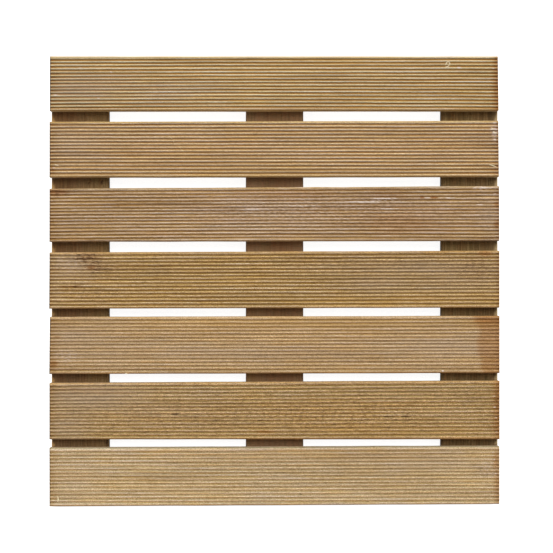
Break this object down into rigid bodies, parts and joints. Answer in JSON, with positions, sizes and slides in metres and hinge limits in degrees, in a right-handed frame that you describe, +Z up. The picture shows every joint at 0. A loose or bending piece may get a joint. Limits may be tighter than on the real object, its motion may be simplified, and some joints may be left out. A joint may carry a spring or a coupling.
{
  "type": "wooden deck tile",
  "caption": "Square wooden deck tile: parallel reeded slats laid across flat battens and stapled from beneath, with open drainage gaps between the slats.",
  "frame": {"origin": "middle of the underside, on the surface the battens lie on", "axes": "+X along the slats and their reeds, +Y across the slats along the battens towards slat 1, +Z up out of the walking face"},
  "size_m": [0.5, 0.5, 0.03],
  "materials": {
    "slat_wood": "planed and reeded treated timber, matt, golden brown",
    "batten_wood": "sawn treated timber, matt, darker brown",
    "staple_wire": "galvanised flat wire"
  },
  "bodies": {
    "root": {"slat_1": "slat_wood", "slat_2": "slat_wood", "slat_3": "slat_wood", "slat_4": "slat_wood", "slat_5": "slat_wood", "slat_6": "slat_wood", "slat_7": "slat_wood", "batten_left": "batten_wood", "batten_middle": "batten_wood", "batten_right": "batten_wood", "staples": "staple_wire"}
  },
  "joints": []
}
